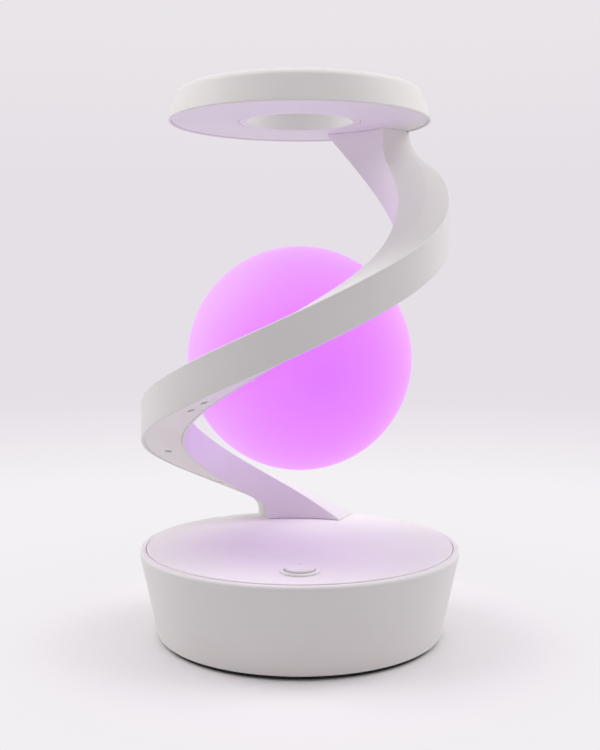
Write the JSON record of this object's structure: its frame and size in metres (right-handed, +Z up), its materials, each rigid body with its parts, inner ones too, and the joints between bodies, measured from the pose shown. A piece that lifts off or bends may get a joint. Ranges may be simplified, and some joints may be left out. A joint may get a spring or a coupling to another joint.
{
  "type": "spiral table lamp",
  "caption": "Free-standing table lamp: weighted round base with push button, one-turn rising ribbon arm round a glowing globe, and ring head lit from its underside.",
  "frame": {"origin": "on the supporting surface, under the middle of the base", "axes": "+Z up, -Y towards the push button, +X to the right seen from the button's side"},
  "size_m": [0.15, 0.15, 0.253],
  "materials": {
    "white_shell": "satin white moulded plastic",
    "white_plate": "satin white moulded plastic",
    "white_trim": "semi-gloss white plastic",
    "milky_diffuser": "opal diffuser sheet",
    "globe_glow": "lit opal plastic, magenta-lilac",
    "black_rubber": "matt black rubber",
    "plain_steel": "zinc-plated steel",
    "board_green": "glass-fibre circuit board",
    "black_plastic": "moulded black plastic",
    "cable_jacket": "flexible cable jacket",
    "led_package": "light-emitting diode package"
  },
  "bodies": {
    "lamp_body": {"base_bowl": "white_shell", "base_top_plate": "white_plate", "base_bottom_cover": "white_shell", "rubber_foot_ring": "black_rubber", "base_screw_1": "plain_steel", "base_screw_2": "plain_steel", "base_screw_3": "plain_steel", "base_screw_4": "plain_steel", "counterweight": "plain_steel", "main_board": "board_green", "board_screw_1": "plain_steel", "board_screw_2": "plain_steel", "controller_chip": "black_plastic", "cable_connector": "white_trim", "switch_body": "black_plastic", "button_bezel": "white_trim", "inlet_shell": "plain_steel", "inlet_tongue": "black_plastic", "inlet_board": "board_green", "inlet_screw_1": "plain_steel", "inlet_screw_2": "plain_steel", "inlet_cable": "cable_jacket", "foot_screw_1": "plain_steel", "foot_screw_2": "plain_steel", "arm_channel": "white_shell", "arm_cover": "white_plate", "cover_screw_1": "plain_steel", "cover_screw_2": "plain_steel", "cover_screw_3": "plain_steel", "cover_screw_4": "plain_steel", "cover_screw_5": "plain_steel", "cover_screw_6": "plain_steel", "cover_screw_7": "plain_steel", "globe_bracket": "plain_steel", "globe_stud": "plain_steel", "globe_collar": "white_trim", "globe_shell": "globe_glow", "globe_led_board": "board_green", "globe_led_1": "led_package", "globe_led_2": "led_package", "globe_led_3": "led_package", "globe_cable": "cable_jacket", "head_shell": "white_shell", "head_inner_ring": "white_trim", "head_diffuser": "milky_diffuser", "head_led_board": "board_green", "head_led_1": "led_package", "head_led_2": "led_package", "head_led_3": "led_package", "head_led_4": "led_package", "head_led_5": "led_package", "head_led_6": "led_package", "head_clamp_plate": "plain_steel", "clamp_screw_1": "plain_steel", "clamp_screw_2": "plain_steel", "head_cable": "cable_jacket"},
    "button": {"power_button": "white_trim"},
    "plunger": {"switch_plunger": "white_trim"}
  },
  "joints": [
    {"name": "button_press", "type": "slide", "parent": "lamp_body", "child": "button", "axis": [0, 0, -1], "range_m": [0, 0.0009], "stiffness_N_per_m": 1500, "springref_m": -0.0004},
    {"name": "plunger_press", "type": "slide", "parent": "lamp_body", "child": "plunger", "axis": [0, 0, -1], "range_m": [0, 0.0009]}
  ],
  "couplings": [
    {"joint": "plunger_press", "follows": "button_press", "ratio": 1}
  ]
}
